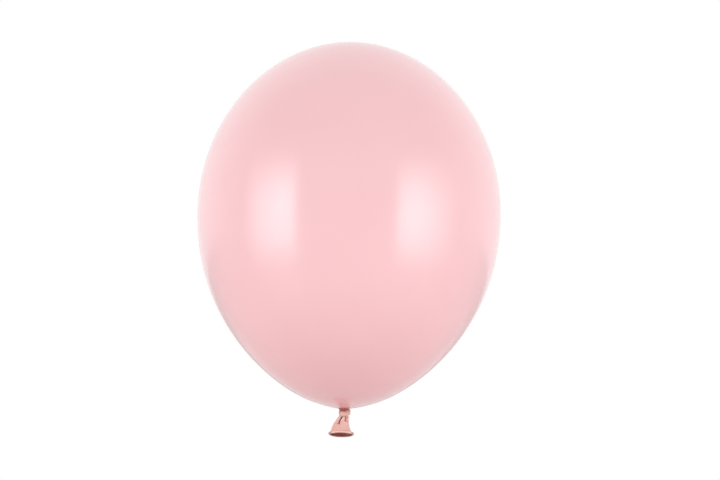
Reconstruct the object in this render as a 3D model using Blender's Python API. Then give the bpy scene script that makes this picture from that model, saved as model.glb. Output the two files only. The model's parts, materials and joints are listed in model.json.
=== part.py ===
"""A knotted latex party balloon, inflated to 30 cm across.

The balloon is one dipped latex film. It is modelled as the lengths of that film that a person can
point at: the envelope that holds the air, the overhand knot in the neck (a core of neck and the one
turn round it), the gathered neck below the knot, the flared skirt and the bead rolled on its mouth.

Frame: metres, +Z up through the crown. The origin is on the axis in the string groove, the throat
between the envelope and the knot, where a ribbon is tied.
"""

import math

import bmesh
import bpy
from mathutils import Matrix, Vector

MM = 0.001
GAP = 0.3 * MM  # clearance kept between neighbouring solids

# Envelope
BULB_RADIUS = 150 * MM
CROWN_RISE = 171.6 * MM  # widest circle up to the crown
LOWER_DROP = 191.0 * MM  # widest circle down to the underside
TAPER = 0.163  # share by which the underside is drawn in towards the throat
FILM = 0.2 * MM  # stands in for the stretched film, which is far thinner
BULB_SEGMENTS = 48
CROWN_RINGS = 11
LOWER_RINGS = 15

# Throat, the string groove round it
UNDERSIDE_Z = 0.8 * MM
THROAT_RADIUS = 3.6 * MM
THROAT_BORE = 1.5 * MM
THROAT_END_Z = -0.7 * MM

# Knot: an oval turn of neck round a core of neck
TURN_CENTRE_Z = -4.5 * MM
TURN_HALF_X = 4.75 * MM  # path of the turn, to the middle of its band
TURN_HALF_Y = 4.1 * MM
BAND_HALF_THICK = 1.55 * MM
BAND_HALF_HEIGHT = 3.1 * MM
TURN_TILT = math.radians(6)
CORE_HALF_X = 2.7 * MM
CORE_HALF_Y = 2.05 * MM
CORE_END_Z = -7.8 * MM
CORE_ROUND = 0.5 * MM

# Tail, which bends both ways about one point below the knot
PIVOT = Vector((0, 0, -10.9 * MM))
NECK_RADIUS = 2.7 * MM
TAIL_FRONT_LEAN = math.radians(-20)  # the mouth tips towards -Y
SKIRT_WALL = 0.8 * MM
CAVITY_END = 4.6 * MM
LIP_DEPTH = 14.4 * MM
LIP_HALF_X = 12.0 * MM  # path of the bead's centre
LIP_HALF_Y = 6.6 * MM
LIP_SHIFT = -2.8 * MM
BEAD_RADIUS = 1.1 * MM
TAIL_SEGMENTS = 40

# The skirt's outside, as (depth below the pivot, half width, half thickness, shift along X)
SKIRT_FLARE = [
    (2.0 * MM, 4.7 * MM, 3.3 * MM, -0.9 * MM),
    (3.4 * MM, 7.4 * MM, 3.5 * MM, -2.4 * MM),
    (5.4 * MM, 8.8 * MM, 4.0 * MM, -3.1 * MM),
    (8.5 * MM, 9.7 * MM, 4.9 * MM, -3.2 * MM),
    (11.0 * MM, 10.9 * MM, 5.8 * MM, -3.1 * MM),
    (LIP_DEPTH - BEAD_RADIUS - GAP, 11.9 * MM, 6.5 * MM, -2.9 * MM),
]


def clear_scene():
    for obj in list(bpy.data.objects):
        bpy.data.objects.remove(obj, do_unlink=True)


def latex(name, colour, roughness):
    """A rubber material; the colour is in linear values."""
    material = bpy.data.materials.new(name)
    material.use_nodes = True
    shader = material.node_tree.nodes["Principled BSDF"]
    shader.inputs["Base Color"].default_value = (*colour, 1)
    shader.inputs["Roughness"].default_value = roughness
    shader.inputs["Metallic"].default_value = 0
    return material


def add_object(name, data, material, parent=None):
    obj = bpy.data.objects.new(name, data)
    bpy.context.scene.collection.objects.link(obj)
    data.materials.append(material)
    obj.parent = parent
    return obj


def shade_round(mesh):
    mesh.shade_smooth()
    mesh.set_sharp_from_angle(angle=math.radians(50))


def oval_ring(bm, station, segments):
    """One oval loop of vertices, or a single vertex where the oval has no width."""
    half_x, half_y, z, shift = station
    if half_x == 0:
        return [bm.verts.new((shift, 0, z))]
    turns = [2 * math.pi * i / segments for i in range(segments)]
    return [bm.verts.new((shift + half_x * math.cos(t), half_y * math.sin(t), z)) for t in turns]


def bridge(bm, first, second):
    """Faces between two loops, either of which may be a single vertex."""
    count = max(len(first), len(second))
    for i in range(count):
        corners = [first[i % len(first)], first[(i + 1) % len(first)]]
        corners += [second[(i + 1) % len(second)], second[i % len(second)]]
        bm.faces.new(list(dict.fromkeys(corners)))


def oval_lathe(name, stations, segments, material, parent=None):
    """A closed solid through ovals (half_x, half_y, z, shift along X), which end in points."""
    bm = bmesh.new()
    loops = [oval_ring(bm, station, segments) for station in stations]
    for first, second in zip(loops, loops[1:]):
        bridge(bm, first, second)
    bmesh.ops.recalc_face_normals(bm, faces=bm.faces)
    mesh = bpy.data.meshes.new(name)
    bm.to_mesh(mesh)
    bm.free()
    shade_round(mesh)
    return add_object(name, mesh, material, parent)


def ring_of_band(name, path_half, band_half, sections, sides, material, parent=None):
    """An oval ring whose section is an upright oval band, lying flat about its own origin."""
    bm = bmesh.new()
    loops = []
    for i in range(sections):
        t = 2 * math.pi * i / sections
        centre = Vector((path_half[0] * math.cos(t), path_half[1] * math.sin(t), 0))
        outward = Vector((math.cos(t) / path_half[0], math.sin(t) / path_half[1], 0)).normalized()
        loop = []
        for j in range(sides):
            s = 2 * math.pi * j / sides
            across = outward * band_half[0] * math.cos(s)
            loop.append(bm.verts.new(centre + across + Vector((0, 0, band_half[1] * math.sin(s)))))
        loops.append(loop)
    for first, second in zip(loops, loops[1:] + loops[:1]):
        bridge(bm, first, second)
    bmesh.ops.recalc_face_normals(bm, faces=bm.faces)
    mesh = bpy.data.meshes.new(name)
    bm.to_mesh(mesh)
    bm.free()
    shade_round(mesh)
    return add_object(name, mesh, material, parent)


def bulb_profile(inset):
    """(radius, z) from the crown to the throat, with the film taken in by inset all over."""
    radius = BULB_RADIUS - inset
    widest_z = UNDERSIDE_Z + LOWER_DROP
    points = []
    for i in range(CROWN_RINGS):
        angle = math.pi / 2 * (1 - i / CROWN_RINGS)
        rise = (CROWN_RISE - inset) * math.sin(angle)
        points.append((radius * math.cos(angle), widest_z + rise))
    points[0] = (0, points[0][1])
    end_angle = math.acos(THROAT_RADIUS / (BULB_RADIUS * (1 - TAPER)))
    for i in range(LOWER_RINGS + 1):
        angle = end_angle * i / LOWER_RINGS
        drawn_in = 1 - TAPER * math.sin(angle) ** 3
        drop = (LOWER_DROP - inset) * math.sin(angle)
        points.append((radius * math.cos(angle) * drawn_in, widest_z - drop))
    return points


def make_envelope(material):
    """The inflated film: a hollow shell, open only through the fine bore of the gathered throat."""
    outside = bulb_profile(0)
    inside = bulb_profile(FILM)
    throat = [(THROAT_RADIUS, THROAT_END_Z), (THROAT_BORE, THROAT_END_Z)]
    throat.append((THROAT_BORE, inside[-1][1]))
    profile = outside + throat + inside[::-1]
    mesh = bpy.data.meshes.new("envelope")
    edges = [(i, i + 1) for i in range(len(profile) - 1)]
    mesh.from_pydata([(r, 0, z) for r, z in profile], edges, [])
    envelope = add_object("envelope", mesh, material)
    turned = envelope.modifiers.new("turned", "SCREW")
    turned.axis = "Z"
    turned.steps = turned.render_steps = BULB_SEGMENTS
    turned.use_merge_vertices = True
    turned.merge_threshold = 0.05 * MM
    turned.use_smooth_shade = True
    return envelope


def make_knot(material):
    """The overhand knot pulled tight: the turn of neck, and the neck that it grips."""
    joint = bpy.data.objects.new("knot_axis", None)
    bpy.context.scene.collection.objects.link(joint)
    turn = ring_of_band(
        "knot_turn",
        (TURN_HALF_X, TURN_HALF_Y),
        (BAND_HALF_THICK, BAND_HALF_HEIGHT),
        36,
        16,
        material,
        joint,
    )
    turn.location = (0, 0, TURN_CENTRE_Z)
    turn.rotation_euler = (0, TURN_TILT, 0)
    top = THROAT_END_Z - GAP
    rounding = [(0.0, 0.0), (0.7, 0.0), (0.93, 0.35), (1.0, 1.0)]
    heights = [(w, top - CORE_ROUND * d) for w, d in rounding]
    heights += [(w, CORE_END_Z + CORE_ROUND * d) for w, d in rounding[::-1]]
    stations = [(CORE_HALF_X * w, CORE_HALF_Y * w, z, 0) for w, z in heights]
    oval_lathe("knot_core", stations, 24, material, joint)


def skirt_stations():
    """The skirt's closed outline, from the socket round the neck, down outside and up inside."""
    socket_radius = NECK_RADIUS + GAP
    rim_angle = math.acos(SKIRT_FLARE[0][0] / socket_radius)
    socket = []
    for i in range(5):
        angle = rim_angle * i / 4
        width = socket_radius * math.sin(angle)
        socket.append((width, width, -socket_radius * math.cos(angle), 0))
    outside = [(half_x, half_y, -depth, shift) for depth, half_x, half_y, shift in SKIRT_FLARE]
    inside = [
        (half_x - SKIRT_WALL, half_y - SKIRT_WALL, z, shift)
        for half_x, half_y, z, shift in outside[::-1]
        if -z > CAVITY_END
    ]
    roof_shift = SKIRT_FLARE[1][3]
    roof = [(3.5 * MM, 1.5 * MM, -CAVITY_END, roof_shift), (0, 0, -CAVITY_END, roof_shift)]
    return socket + outside + inside + roof


def make_tail(material, bead_material):
    """The neck below the knot: a gathered ball of film, the flared skirt and its rolled bead."""
    pivot = bpy.data.objects.new("tail_pivot", None)
    bpy.context.scene.collection.objects.link(pivot)
    pivot.location = PIVOT
    steps = 10
    angles = [math.pi * i / steps for i in range(steps + 1)]
    widths = [NECK_RADIUS * math.sin(a) for a in angles]
    widths[0] = widths[-1] = 0
    ball = [(w, w, NECK_RADIUS * math.cos(a), 0) for w, a in zip(widths, angles)]
    oval_lathe("tail_neck", ball, 24, material, pivot)

    lean = Matrix.Rotation(TAIL_FRONT_LEAN, 4, "X")
    skirt = oval_lathe("tail_skirt", skirt_stations(), TAIL_SEGMENTS, material, pivot)
    skirt.rotation_euler = lean.to_euler()

    lip = ring_of_band(
        "rolled_lip",
        (LIP_HALF_X, LIP_HALF_Y),
        (BEAD_RADIUS, BEAD_RADIUS),
        TAIL_SEGMENTS,
        10,
        bead_material,
        pivot,
    )
    lip.location = lean @ Vector((LIP_SHIFT, 0, -LIP_DEPTH))
    lip.rotation_euler = lean.to_euler()


def main():
    clear_scene()
    film = latex("latex_film", (0.955, 0.58, 0.605), 0.38)
    neck = latex("latex_neck", (0.86, 0.50, 0.43), 0.45)
    bead = latex("latex_bead", (0.62, 0.27, 0.23), 0.42)
    make_envelope(film)
    make_knot(neck)
    make_tail(neck, bead)


main()
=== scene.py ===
"""The looks of a knotted latex party balloon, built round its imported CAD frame.

Metres, +Z up through the crown, with the origin in the string groove between the bulb and the knot.
The latex is drawn as the lengths of film that show: the inflated film from crown to throat, the
strand tied in the overhand knot, the tail of relaxed neck below it, and the bead on its mouth.
"""

import json
import math

import bpy
import numpy as np
from mathutils import Matrix, Vector


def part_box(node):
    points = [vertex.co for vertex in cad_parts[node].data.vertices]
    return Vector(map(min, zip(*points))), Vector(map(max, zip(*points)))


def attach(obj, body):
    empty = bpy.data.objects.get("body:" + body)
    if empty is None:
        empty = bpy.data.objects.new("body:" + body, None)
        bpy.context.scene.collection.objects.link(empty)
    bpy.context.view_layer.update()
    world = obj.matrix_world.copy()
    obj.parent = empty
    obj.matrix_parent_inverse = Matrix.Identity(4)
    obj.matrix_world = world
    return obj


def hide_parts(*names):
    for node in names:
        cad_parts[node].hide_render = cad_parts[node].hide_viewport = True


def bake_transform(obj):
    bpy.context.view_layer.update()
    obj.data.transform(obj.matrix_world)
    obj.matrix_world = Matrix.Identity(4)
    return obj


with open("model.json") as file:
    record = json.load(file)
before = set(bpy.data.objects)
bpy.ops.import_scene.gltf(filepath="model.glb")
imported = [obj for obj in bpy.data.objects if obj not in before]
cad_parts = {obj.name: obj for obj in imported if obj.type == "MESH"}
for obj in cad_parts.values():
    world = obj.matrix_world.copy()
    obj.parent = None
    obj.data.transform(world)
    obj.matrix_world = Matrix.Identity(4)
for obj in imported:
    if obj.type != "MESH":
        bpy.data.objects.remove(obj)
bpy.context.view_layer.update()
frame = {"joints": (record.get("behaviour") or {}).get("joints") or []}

MM = 0.001
TURN = 2 * math.pi

# Sizes and places read from the frame
bulb_low, bulb_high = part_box("envelope")
turn_low, turn_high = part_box("knot_turn")
lip_low, lip_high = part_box("rolled_lip")
joints = {joint["name"]: joint for joint in frame["joints"]}
PIVOT = Vector(joints["tail_nod"]["pos_m"])

BULB_RADIUS = (bulb_high[0] - bulb_low[0]) / 2
CROWN_Z = bulb_high[2]
CROWN_RISE = 1.144 * BULB_RADIUS  # widest circle up to the crown
LOWER_DROP = 1.2733 * BULB_RADIUS  # widest circle down to the underside
WIDEST_Z = CROWN_Z - CROWN_RISE
TAPER = 0.14  # share by which the underside is drawn in towards the throat
CROWN_TAPER = 0.016  # share by which the top is drawn in towards the crown

LIP_CENTRE = (Vector(lip_low) + Vector(lip_high)) / 2
TAIL_LEAN = math.radians(-20)  # about X: the mouth tips towards -Y
BEAD_RADIUS = 1.1 * MM
LIP_DEPTH = (PIVOT.z - LIP_CENTRE.z) / math.cos(TAIL_LEAN)  # below the pivot, along the tail


# Mesh helpers


def smooth(low, high, x):
    """0 before low, 1 after high, and an even curve between; low may be the greater."""
    t = np.clip((np.asarray(x, float) - low) / (high - low), 0, 1)
    return t * t * (3 - 2 * t)


def ripple(angle, waves):
    """A sum of cosines, for pleats of uneven width: waves is [(count, share, phase), ...]."""
    return sum(share * np.cos(count * angle + phase) for count, share, phase in waves)


def curve_through(stations, at):
    """The columns of stations after the first, interpolated over the first (Catmull-Rom)."""
    table = np.array(stations, float)
    x, values = table[:, 0], table[:, 1:]
    slopes = np.gradient(values, x, axis=0)
    i = np.clip(np.searchsorted(x, at) - 1, 0, len(x) - 2)
    span = (x[i + 1] - x[i])[:, None]
    t = ((at - x[i]) / (x[i + 1] - x[i]))[:, None]
    t2, t3 = t * t, t * t * t
    return (
        (2 * t3 - 3 * t2 + 1) * values[i]
        + (t3 - 2 * t2 + t) * span * slopes[i]
        + (3 * t2 - 2 * t3) * values[i + 1]
        + (t3 - t2) * span * slopes[i + 1]
    )


def grid_object(name, points, tint, closed_rows=False, pole=None):
    """A smooth mesh over points[row, column], closed round its columns; pole caps the first row.

    It faces outwards where the columns run anticlockwise seen from the first row's side.
    """
    rows, columns = points.shape[:2]
    index = np.arange(rows * columns).reshape(rows, columns)
    if closed_rows:
        index = np.vstack([index, index[:1]])
    index = np.hstack([index, index[:, :1]])
    corners = [index[:-1, :-1], index[1:, :-1], index[1:, 1:], index[:-1, 1:]]
    faces = np.stack(corners, -1).reshape(-1, 4).tolist()
    vertices = points.reshape(-1, 3)
    tints = np.broadcast_to(tint, (rows, columns)).ravel()
    if pole is not None:
        tip = len(vertices)
        vertices = np.vstack([vertices, pole])
        tints = np.append(tints, tints[0])
        faces += [(tip, int(a), int(b)) for a, b in zip(index[0, :-1], index[0, 1:])]
    mesh = bpy.data.meshes.new(name)
    mesh.from_pydata(vertices.tolist(), [], faces)
    attribute = mesh.attributes.new("tint", "FLOAT", "POINT")
    attribute.data.foreach_set("value", tints.astype(np.float32))
    mesh.shade_smooth()
    mesh.update()
    piece = bpy.data.objects.new(name, mesh)
    bpy.context.scene.collection.objects.link(piece)
    return piece


# Materials

CLOUD_SCALE = 22  # faint unevenness of the pigment, some 5 cm across
CLOUD_DARKEST = 0.985
WRINKLE_SCALE = 900  # crazing of about a millimetre
WRINKLE_HEIGHT = 0.25 * MM


def add_node(tree, kind, **settings):
    node = tree.nodes.new(kind)
    for key, value in settings.items():
        setattr(node, key, value)
    return node


def latex(name, thin, thick_and_shade, roughness, coat, scatter, wrinkle=0.0):
    """Pastel latex, whose colour runs from thin to thick (linear values) with the tint attribute.

    Thin is the stretched film's colour, and the other end the colour of relaxed film, doubled over
    or gathered; the tint also uses that end for painted shade: in creases, the crevice at the
    throat, the knot's top, the bulb's underside, the tail under the knot, the mouth's inside and
    the bead's back and ends. The wrinkle is the strength of the fine crazing of unstretched film.
    """
    material = bpy.data.materials.new(name)
    material.use_nodes = True
    tree = material.node_tree
    shader = tree.nodes["Principled BSDF"]

    tint = add_node(tree, "ShaderNodeAttribute", attribute_name="tint")
    film = add_node(tree, "ShaderNodeMix", data_type="RGBA")
    film.inputs["A"].default_value = (*thin, 1)
    film.inputs["B"].default_value = (*thick_and_shade, 1)
    tree.links.new(tint.outputs["Fac"], film.inputs["Factor"])

    place = add_node(tree, "ShaderNodeTexCoord")
    cloud = add_node(tree, "ShaderNodeTexNoise")
    cloud.inputs["Scale"].default_value = CLOUD_SCALE
    cloud.inputs["Detail"].default_value = 3
    tree.links.new(place.outputs["Object"], cloud.inputs["Vector"])
    shade = add_node(tree, "ShaderNodeMapRange")
    shade.inputs["From Min"].default_value = 0.3
    shade.inputs["From Max"].default_value = 0.7
    shade.inputs["To Min"].default_value = CLOUD_DARKEST
    shade.inputs["To Max"].default_value = 1.0
    tree.links.new(cloud.outputs["Fac"], shade.inputs["Value"])
    scaled = add_node(tree, "ShaderNodeVectorMath", operation="SCALE")
    tree.links.new(film.outputs["Result"], scaled.inputs[0])
    tree.links.new(shade.outputs["Result"], scaled.inputs["Scale"])
    tree.links.new(scaled.outputs["Vector"], shader.inputs["Base Color"])

    if wrinkle:
        grain = add_node(tree, "ShaderNodeTexNoise")
        grain.inputs["Scale"].default_value = WRINKLE_SCALE
        grain.inputs["Detail"].default_value = 4
        grain.inputs["Distortion"].default_value = 0.8
        tree.links.new(place.outputs["Object"], grain.inputs["Vector"])
        bump = add_node(tree, "ShaderNodeBump")
        bump.inputs["Strength"].default_value = wrinkle
        bump.inputs["Distance"].default_value = WRINKLE_HEIGHT
        tree.links.new(grain.outputs["Fac"], bump.inputs["Height"])
        tree.links.new(bump.outputs["Normal"], shader.inputs["Normal"])

    shader.inputs["Roughness"].default_value = roughness
    shader.inputs["IOR"].default_value = 1.52
    shader.inputs["Coat Weight"].default_value = coat
    shader.inputs["Coat Roughness"].default_value = roughness
    shader.inputs["Subsurface Weight"].default_value = scatter
    shader.inputs["Subsurface Radius"].default_value = (1.0, 0.5, 0.4)
    shader.inputs["Subsurface Scale"].default_value = 1.5 * MM
    return material


# The inflated film

THROAT_RADIUS = 4.9 * MM
PLEATED_RADIUS = 24 * MM  # the pleats start this far from the axis
SAG = 0.6 * MM  # how far the film bulges down round the knot
THROAT_NARROWS = 2.5 * MM  # inside the knot, over the drop
THROAT_DROP = 3.4 * MM
PLEAT_DEPTH = 0.13  # share of the radius
PLEAT_LIFT = 0.24 * MM
# (count, share, phase)
PLEATS = [(12, 0.42, 0.4), (19, 0.36, 2.1), (7, 0.3, 4.0), (29, 0.14, 1.2)]


def bulb_curve(angle):
    """(radius, z) on the bulb's outline below its widest circle, at an angle of 0 to pi / 2."""
    drawn_in = 1 - TAPER * np.sin(angle) ** 3
    return BULB_RADIUS * np.cos(angle) * drawn_in, WIDEST_Z - LOWER_DROP * np.sin(angle)


def film_outline():
    """(radius, z) from just off the crown to the film's end, hidden inside the knot."""
    above = np.linspace(math.pi / 2, 0, 56)[1:-1]
    crown_radius = BULB_RADIUS * np.cos(above) * (1 - CROWN_TAPER * np.sin(above) ** 3)
    crown = np.stack([crown_radius, WIDEST_Z + CROWN_RISE * np.sin(above)], 1)
    throat_scale = BULB_RADIUS * (1 - TAPER)
    near = math.acos(PLEATED_RADIUS / throat_scale)
    lower = np.stack(bulb_curve(np.linspace(0, near, 60)), 1)
    radii = np.linspace(PLEATED_RADIUS, THROAT_RADIUS, 36)[1:]
    pleated = np.stack(bulb_curve(np.arccos(radii / throat_scale)), 1)
    sag = smooth(PLEATED_RADIUS, 9 * MM, pleated[:, 0])
    sag *= smooth(THROAT_RADIUS, 7.5 * MM, pleated[:, 0])
    pleated[:, 1] -= SAG * sag
    drop = np.linspace(0, 1, 15)[1:]
    end = pleated[-1]
    throat = np.stack([end[0] - THROAT_NARROWS * drop**1.6, end[1] - THROAT_DROP * drop], 1)
    return np.vstack([crown, lower, pleated, throat])


def make_film(material):
    """The film from crown to throat, drawn into pleats where the knot gathers it."""
    outline = film_outline()
    columns = 360
    around = np.arange(columns) * TURN / columns
    radius, z = outline[:, :1], outline[:, 1:]
    below = z < WIDEST_Z
    gathered = np.where(below, smooth(PLEATED_RADIUS, THROAT_RADIUS, radius) ** 2, 0)
    pleat = ripple(around, PLEATS)[None, :]
    r = radius * (1 + PLEAT_DEPTH * gathered * pleat)
    lift = PLEAT_LIFT * np.where(below, smooth(34 * MM, 7 * MM, radius), 0) * pleat
    points = np.stack([r * np.cos(around), r * np.sin(around), z + lift], -1)
    # Darker towards the neck: the less stretched film there is deeper in colour, and part of it is
    # painted shade on the bulb's underside.
    neck_tint_and_shade = 0.44 * np.clip(1 - z / (1.1 * WIDEST_Z), 0, 1) ** 1.7
    # Painted shade in the crevice under the bulb, round the throat, where the knot also gathers the
    # film thicker.
    throat_tint_and_shade = 0.8 * smooth(9.2 * MM, 5.4 * MM, radius) * below
    crown_tint = 0.11 * smooth(95 * MM, 30 * MM, radius) + 0.06 * smooth(20 * MM, 3 * MM, radius)
    tint = neck_tint_and_shade + throat_tint_and_shade + crown_tint * ~below + 0.04 * gathered * pleat
    film = grid_object("envelope_film", points, tint, pole=(0, 0, CROWN_Z))
    film.data.materials.append(material)
    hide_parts("envelope")
    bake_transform(film)


# The knot: one turn of gathered neck round the neck that runs down through it

KNOT_SHIFT_X = 1.1 * MM
KNOT_Z = (turn_low[2] + turn_high[2]) / 2
KNOT_LIFT = 0.8 * MM
TURN_PATH_X = (turn_high[0] - turn_low[0]) / 2 - 1.9 * MM  # to the middle of the strand
TURN_PATH_Y = (turn_high[1] - turn_low[1]) / 2 - 1.6 * MM
STRAND_START = math.radians(5)
STRAND_SWEEP = math.radians(455)  # a little more than one turn, clockwise seen from above
SQUARENESS = 0.85  # power of the section's sines: 1 is an ellipse, and less is squarer
FOLD_SIZE = 0.13 * MM
STRAND_FOLDS = [(7, 0.5, 0.6), (11, 0.3, 2.0), (4, 0.4, 5.0)]

# Creases along the strand: (angle round its section, how far it wanders in radians, half width in
# radians, depth as a multiple of the fold size)
KNOT_CREASES = [
    (-0.75, 0.25, 0.13, 2.2),
    (0.45, 0.3, 0.12, 1.8),
    (1.2, 0.2, 0.1, 1.2),
    (-1.5, 0.3, 0.12, 1.4),
]


def make_knot(material):
    """The wrapping strand, which leaves the core at the foot and is tucked back in at the head."""
    rows, columns = 260, 72
    t = np.linspace(0, 1, rows)
    angle = STRAND_START - STRAND_SWEEP * t
    tucked = smooth(0, 0.15, t) * smooth(1, 0.86, t)
    spread = 0.3 + 0.7 * tucked
    rise = -1.0 + 1.7 * smooth(0.1, 0.95, t)
    centre = np.stack(
        [
            TURN_PATH_X * spread * np.cos(angle) + KNOT_SHIFT_X,
            TURN_PATH_Y * spread * np.sin(angle),
            KNOT_Z + KNOT_LIFT + MM * rise,
        ],
        1,
    )
    outward = np.stack([np.cos(angle), np.sin(angle), np.zeros(rows)], 1)
    single = smooth(0.12, 0.3, t) * smooth(0.95, 0.75, t)
    half_height = MM * (1.9 + 1.25 * single) * (0.75 + 0.25 * tucked)
    half_thick = MM * (1.45 + 0.12 * np.cos(3 * angle + 0.8)) * (0.85 + 0.15 * tucked)
    around = np.arange(columns) * TURN / columns
    c, s = np.cos(around), np.sin(around)
    section_out = np.sign(c) * np.abs(c) ** SQUARENESS
    section_up = np.sign(s) * np.abs(s) ** SQUARENESS
    drift = 0.132 * np.sin(2.3 * angle)[:, None]
    folds = ripple(around[None, :] + drift, STRAND_FOLDS)
    fold_size = FOLD_SIZE * (0.7 + 0.3 * np.cos(5 * angle))[:, None]
    for middle, wander, width, size in KNOT_CREASES:
        place = middle + wander * np.sin(1.3 * angle + 2 * middle)[:, None]
        off = (around[None, :] - place + math.pi) % TURN - math.pi
        folds = folds - size * np.exp(-((off / width) ** 2))
    out = half_thick[:, None] * section_out + fold_size * folds * c
    up = half_height[:, None] * section_up + fold_size * folds * s
    points = centre[:, None, :] + outward[:, None, :] * out[..., None]
    points[..., 2] += up
    # Painted shade in the strand's creases and folds.
    crease_shade = 0.5 - 0.5 * folds
    # Painted shade on the strand's top, under the bulb.
    top_shade = 0.5 * smooth(-0.2, 0.9, s)[None, :] * single[:, None]
    tint = np.clip(0.2 + 0.16 * crease_shade + top_shade, 0, 1)
    knot = grid_object("knot_wrap", points[:, ::-1], tint[:, ::-1])
    knot.data.materials.append(material)
    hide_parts("knot_turn", "knot_core")
    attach(knot, "knot")


# The tail: relaxed neck, gathered under the knot and flaring to the mouth

FILM_THICK = 0.35 * MM
TAIL_TOP = -7.0  # depth of its hidden end inside the knot, in millimetres
GATHER_FOLDS = [(8, 0.5, 1.0), (13, 0.35, 2.6), (5, 0.3, 0.2)]
DRAPE_FOLDS = [(7, 0.6, 0.9), (11, 0.4, 3.9)]

# (depth below the pivot, half width, half thickness, shift along X), in millimetres
TAIL_SECTIONS = [
    (-7.0, 2.4, 2.0, 0.3),
    (-4.6, 3.2, 2.5, 0.4),
    (-2.9, 5.3, 3.1, 0.4),
    (-1.2, 5.8, 3.3, -0.3),
    (0.8, 6.4, 3.4, -1.0),
    (4.5, 7.8, 3.9, -1.9),
    (8.7, 9.1, 4.9, -2.2),
    (11.6, 10.2, 5.9, -2.1),
    (13.3, 10.9, 6.4, -1.8),
    (14.4, 11.3, 6.6, -1.6),
]

# Creases in the tail: (angle round it, turn per mm of depth, depth from, depth to, half width in
# radians, size in mm). The side with the lower angle is the gentler one.
GROOVES = [
    (-2.02, 0.016, -4.2, 5.2, 0.125, 2.6),
    (-1.16, 0.0, -4.4, -2.4, 0.11, 1.3),
    (-1.0, 0.0, -2.2, 1.8, 0.12, 2.1),
    (-0.66, 0.0, -3.4, -0.6, 0.11, 1.5),
    (-0.60, 0.0, 0.3, 2.4, 0.08, 0.9),
    (-2.60, 0.0, -3.4, 1.0, 0.07, 0.6),
    (0.35, 0.0, -3.4, 3.0, 0.08, 0.9),
    (1.15, 0.01, -3.6, 4.2, 0.10, 1.8),
    (1.80, 0.0, -2.0, 1.8, 0.07, 0.8),
    (2.40, 0.0, -3.6, 3.4, 0.08, 1.2),
]


def tail_surface(depth, around, inset=0.0):
    """The film at the depths (millimetres) and angles round the tail, taken in by inset.

    Returns its points, and how far its folds stand out from the plain form, in millimetres.
    """
    half_x, half_y, shift = (MM * curve_through(TAIL_SECTIONS, depth)).T
    lean = TAIL_LEAN * smooth(-3, 3, depth)
    step = MM * np.gradient(depth)
    z = PIVOT.z - np.cumsum(step * np.cos(lean))
    y = -np.cumsum(step * np.sin(-lean))
    z = z + PIVOT.z - np.interp(0, depth, z)
    y = y - np.interp(0, depth, y)
    c, s = np.cos(around)[None, :], np.sin(around)[None, :]
    gather = smooth(7, -3, depth)[:, None]
    folds = ripple(around[None, :] + 0.05 * depth[:, None], GATHER_FOLDS)
    drape = ripple(around, DRAPE_FOLDS)[None, :] * smooth(14, 3, depth)[:, None]
    pull = 0.45 * MM * gather * folds + 0.16 * MM * (1 - gather) * drape
    for angle, turn, top, bottom, width, size in GROOVES:
        middle = angle + turn * (depth[:, None] - top)
        off = (around[None, :] - middle + math.pi) % TURN - math.pi
        along = smooth(top - 1.2, top + 0.8, depth) * smooth(bottom + 1.4, bottom - 1.2, depth)
        wide = np.where(off < 0, 1.5 * width, width)
        pull = pull - size * MM * along[:, None] * np.exp(-((off / wide) ** 2))
    out_x = (half_x[:, None] - inset) * c + pull * c
    out_y = (half_y[:, None] - inset) * s + pull * s
    leaned_y = y[:, None] + out_y * np.cos(lean)[:, None]
    leaned_z = z[:, None] + out_y * np.sin(lean)[:, None]
    return np.stack([shift[:, None] + out_x, leaned_y, leaned_z], -1), pull / MM


def make_tail(material):
    """The gathered neck under the knot, and the hollow skirt that flares from it.

    Their seam is at the pivot. The skirt's film turns back at the mouth and runs up inside.
    """
    columns = 200
    around = np.arange(columns) * TURN / columns
    above = np.linspace(TAIL_TOP, 0, 44)
    depth = np.concatenate([above, np.linspace(0, LIP_DEPTH / MM, 84)[1:]])
    outer, pull = tail_surface(depth, around)
    # Darker up under the knot: the gathered film there, with painted shade from the knot above it.
    folded_and_shaded = 0.12 * smooth(0, -4, depth)[:, None]
    # Painted shade in the grooves; the folds that stand out are painted slightly lighter.
    tint = np.clip(0.06 - 0.3 * np.minimum(pull, 0.2) + folded_and_shaded, 0, 1)
    seam = len(above) - 1
    gather = grid_object("tail_gather", outer[: seam + 1], tint[: seam + 1])
    gather.data.materials.append(material)
    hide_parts("tail_neck")
    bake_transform(gather)

    inner = tail_surface(depth, around, inset=FILM_THICK)[0][: seam + 7 : -1]
    shell = np.vstack([outer[seam:], inner])
    # Painted shade: the skirt's inner wall takes the darkest colour all over, for the shade inside
    # the mouth.
    shell_tint = np.vstack([tint[seam:], np.ones(inner.shape[:2])])
    skirt = grid_object("tail_film", shell, shell_tint)
    skirt.data.materials.append(material)
    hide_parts("tail_skirt")
    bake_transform(skirt)


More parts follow.
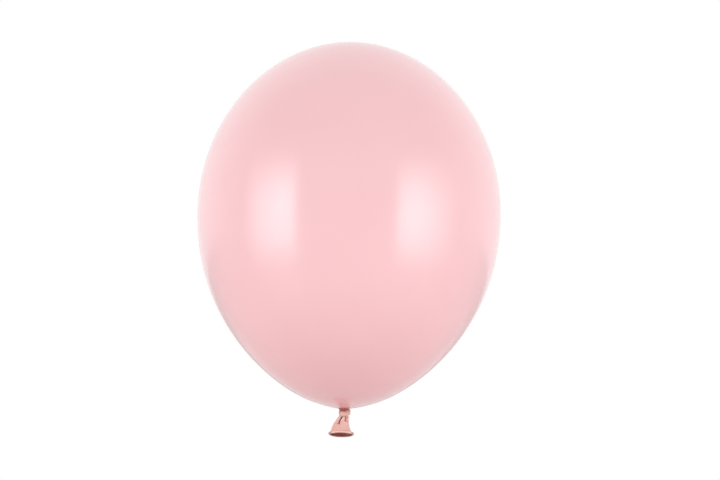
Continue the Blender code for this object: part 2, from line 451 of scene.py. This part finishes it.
def make_lip(material):
    """The bead rolled on the mouth, with the fine cross wrinkles of rolled film."""
    rows, columns = 300, 28
    around = np.arange(rows) * TURN / rows
    section = np.arange(columns) * TURN / columns
    c, s = np.cos(around), np.sin(around)
    wobble = 1 + 0.012 * np.cos(2 * around + 0.7) + 0.008 * np.cos(5 * around + 2.0)
    half_x, half_y, shift = MM * np.array(TAIL_SECTIONS[-1][1:])
    flat = np.stack([half_x * wobble * c, half_y * wobble * s, np.zeros(rows)], 1)
    outward = np.stack([c / half_x, s / half_y, np.zeros(rows)], 1)
    outward /= np.linalg.norm(outward, axis=1)[:, None]
    size = BEAD_RADIUS * (0.97 + 0.04 * np.cos(3 * around + 1) + 0.025 * np.cos(46 * around))
    size = size[:, None] * (1 - 0.1 * np.exp(-(((section[None, :] - 5.2) / 0.22) ** 2)))
    points = flat[:, None, :] + outward[:, None, :] * (size * np.cos(section))[..., None]
    points[..., 2] += size * np.sin(section)
    turn = np.array(Matrix.Rotation(TAIL_LEAN, 3, "X"))
    points = points @ turn.T + np.array(LIP_CENTRE)
    points[..., 0] += shift - LIP_CENTRE.x
    # Painted shade on the side of the bead that faces into the mouth.
    inside = smooth(0.2, -0.8, np.cos(section))[None, :]
    # Painted shade at the bead's left and right ends.
    end_shade = 0.6 * smooth(0.7, 0.95, np.abs(c))[:, None]
    # Painted shade on the bead's back half, seen through the mouth, added to that at the ends and
    # the inner side.
    tint = np.clip(0.1 + end_shade + 0.7 * smooth(-0.2, 0.9, s)[:, None] + 0.8 * inside, 0, 1)
    lip = grid_object("lip_bead", points, tint, closed_rows=True)
    lip.data.materials.append(material)
    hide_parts("rolled_lip")
    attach(lip, "tail")


# The studio

FLOOR_Z = -0.45
FLOOR_REACH = 10.0
AIM = Vector((0.0115, 0, 0.167))
CAMERA_DISTANCE = 1.98
CAMERA_ELEVATION = math.radians(-6)
CAMERA_ROLL = math.radians(1.6)
SOFTBOX_DISTANCE = 1.2
SOFTBOX_HEIGHT = 1.7
SOFTBOX_Z = 0.19
SOFTBOX_FADE = 2.3  # power of the sine by which it fades towards its top and foot
ROOM_DIM = 0.36  # the white room's level in front, as the film reflects it
ROOM_EVEN = 0.43  # and its level all round, as it lights the film


def make_floor():
    mesh = bpy.data.meshes.new("floor")
    r = FLOOR_REACH
    corners = [(-r, -r), (r, -r), (r, r), (-r, r)]
    mesh.from_pydata([(x, y, FLOOR_Z) for x, y in corners], [], [(0, 1, 2, 3)])
    floor = bpy.data.objects.new("floor", mesh)
    bpy.context.scene.collection.objects.link(floor)
    material = bpy.data.materials.new("pale_floor")
    material.use_nodes = True
    shader = material.node_tree.nodes["Principled BSDF"]
    shader.inputs["Base Color"].default_value = (0.7, 0.7, 0.7, 1)
    shader.inputs["Roughness"].default_value = 0.9
    shader.inputs["Emission Color"].default_value = (1, 1, 1, 1)
    shader.inputs["Emission Strength"].default_value = 0.25
    mesh.materials.append(material)


def make_world():
    """A white room: white behind the balloon, and dimmer in front of it, round the camera."""
    world = bpy.data.worlds.new("white_room")
    bpy.context.scene.world = world
    world.use_nodes = True
    tree = world.node_tree
    background = tree.nodes["Background"]
    background.inputs["Color"].default_value = (1, 1, 1, 1)
    place = add_node(tree, "ShaderNodeTexCoord")
    axes = add_node(tree, "ShaderNodeSeparateXYZ")
    tree.links.new(place.outputs["Generated"], axes.inputs[0])
    room = add_node(tree, "ShaderNodeMapRange", interpolation_type="SMOOTHSTEP")
    room.inputs["From Min"].default_value = -0.3
    room.inputs["From Max"].default_value = 0.7
    room.inputs["To Min"].default_value = ROOM_DIM
    room.inputs["To Max"].default_value = 1.0
    tree.links.new(axes.outputs["Y"], room.inputs["Value"])
    path = add_node(tree, "ShaderNodeLightPath")
    even = add_node(tree, "ShaderNodeMix", data_type="FLOAT")
    even.inputs["B"].default_value = ROOM_EVEN
    tree.links.new(path.outputs["Is Diffuse Ray"], even.inputs["Factor"])
    tree.links.new(room.outputs["Result"], even.inputs["A"])
    seen = add_node(tree, "ShaderNodeMath", operation="MAXIMUM")
    tree.links.new(path.outputs["Is Camera Ray"], seen.inputs[0])
    tree.links.new(even.outputs["Result"], seen.inputs[1])
    tree.links.new(seen.outputs["Value"], background.inputs["Strength"])


def softbox(name, azimuth, width, power, across):
    """A tall softbox facing the bulb, brightest at its middle height.

    azimuth is in degrees from the camera's side, + to the right; across is its brightness from its
    left edge to its right, as (place, level) stops.
    """
    light = bpy.data.lights.new(name, "AREA")
    light.shape = "RECTANGLE"
    light.size = width
    light.size_y = SOFTBOX_HEIGHT
    light.energy = power
    light.use_nodes = True
    tree = light.node_tree
    emission = tree.nodes["Emission"]
    spot = add_node(tree, "ShaderNodeNewGeometry")
    uv = add_node(tree, "ShaderNodeSeparateXYZ")
    tree.links.new(spot.outputs["Parametric"], uv.inputs[0])
    ramp = add_node(tree, "ShaderNodeValToRGB")
    stops = ramp.color_ramp
    while len(stops.elements) < len(across):
        stops.elements.new(0.5)
    for stop, (position, level) in zip(stops.elements, across):
        stop.position = position
        stop.color = (level, level, level, 1)
    tree.links.new(uv.outputs["X"], ramp.inputs["Fac"])
    half_turn = add_node(tree, "ShaderNodeMath", operation="MULTIPLY")
    half_turn.inputs[1].default_value = math.pi
    tree.links.new(uv.outputs["Y"], half_turn.inputs[0])
    arch = add_node(tree, "ShaderNodeMath", operation="SINE")
    tree.links.new(half_turn.outputs["Value"], arch.inputs[0])
    soft = add_node(tree, "ShaderNodeMath", operation="POWER")
    soft.inputs[1].default_value = SOFTBOX_FADE
    tree.links.new(arch.outputs["Value"], soft.inputs[0])
    level = add_node(tree, "ShaderNodeMath", operation="MULTIPLY")
    tree.links.new(soft.outputs["Value"], level.inputs[0])
    tree.links.new(ramp.outputs["Color"], level.inputs[1])
    tree.links.new(level.outputs["Value"], emission.inputs["Strength"])
    lamp = bpy.data.objects.new(name, light)
    bpy.context.scene.collection.objects.link(lamp)
    a = math.radians(azimuth)
    d = SOFTBOX_DISTANCE
    lamp.location = (d * math.sin(a), -d * math.cos(a), SOFTBOX_Z)
    toward = Vector((0, 0, WIDEST_Z)) - lamp.location
    lamp.rotation_euler = toward.to_track_quat("-Z", "Y").to_euler()
    lamp.visible_camera = False


def fill(name, location, aim, size, power):
    """A wide even light, too soft to be seen in the film."""
    light = bpy.data.lights.new(name, "AREA")
    light.size = size
    light.energy = power
    lamp = bpy.data.objects.new(name, light)
    bpy.context.scene.collection.objects.link(lamp)
    lamp.location = location
    lamp.rotation_euler = (Vector(aim) - lamp.location).to_track_quat("-Z", "Y").to_euler()
    lamp.visible_camera = False
    lamp.visible_glossy = False


def make_camera():
    camera = bpy.data.objects.new("camera", bpy.data.cameras.new("camera"))
    bpy.context.scene.collection.objects.link(camera)
    camera.data.lens = 100
    camera.data.clip_end = 50
    back = Vector((0, -math.cos(CAMERA_ELEVATION), math.sin(CAMERA_ELEVATION)))
    camera.location = AIM + CAMERA_DISTANCE * back
    look = (-back).to_track_quat("-Z", "Y")
    camera.rotation_euler = (look.to_matrix() @ Matrix.Rotation(CAMERA_ROLL, 3, "Z")).to_euler()
    bpy.context.scene.camera = camera


film_latex = latex("film_latex", (0.915, 0.56, 0.585), (0.475, 0.11, 0.105), 0.2, 0.5, 0.0)
neck_latex = latex("neck_latex", (0.93, 0.60, 0.535), (0.34, 0.12, 0.10), 0.3, 0.2, 0.25, 0.2)
bead_latex = latex("bead_latex", (0.93, 0.58, 0.51), (0.30, 0.10, 0.08), 0.3, 0.2, 0.1, 0.2)

make_film(film_latex)
make_knot(neck_latex)
make_tail(neck_latex)
make_lip(bead_latex)

make_floor()
make_world()
left_fade = [(0, 0), (0.2, 0.4), (0.7, 0.95), (0.92, 1), (1, 0.5)]
right_fade = [(0, 0.5), (0.12, 0.95), (0.36, 1), (0.68, 0.5), (1, 0.1)]
softbox("softbox_left", -58, 0.92, 20.5, left_fade)
softbox("softbox_right", 57, 1.05, 21.5, right_fade)
fill("overhead_fill", (0, 0, 2.3), (0, 0, 0), 2.4, 22)
fill("back_fill", (0, 2.2, 0.1), (0, 0, WIDEST_Z), 2.0, 16)
make_camera()
bpy.context.scene.view_settings.view_transform = "Standard"
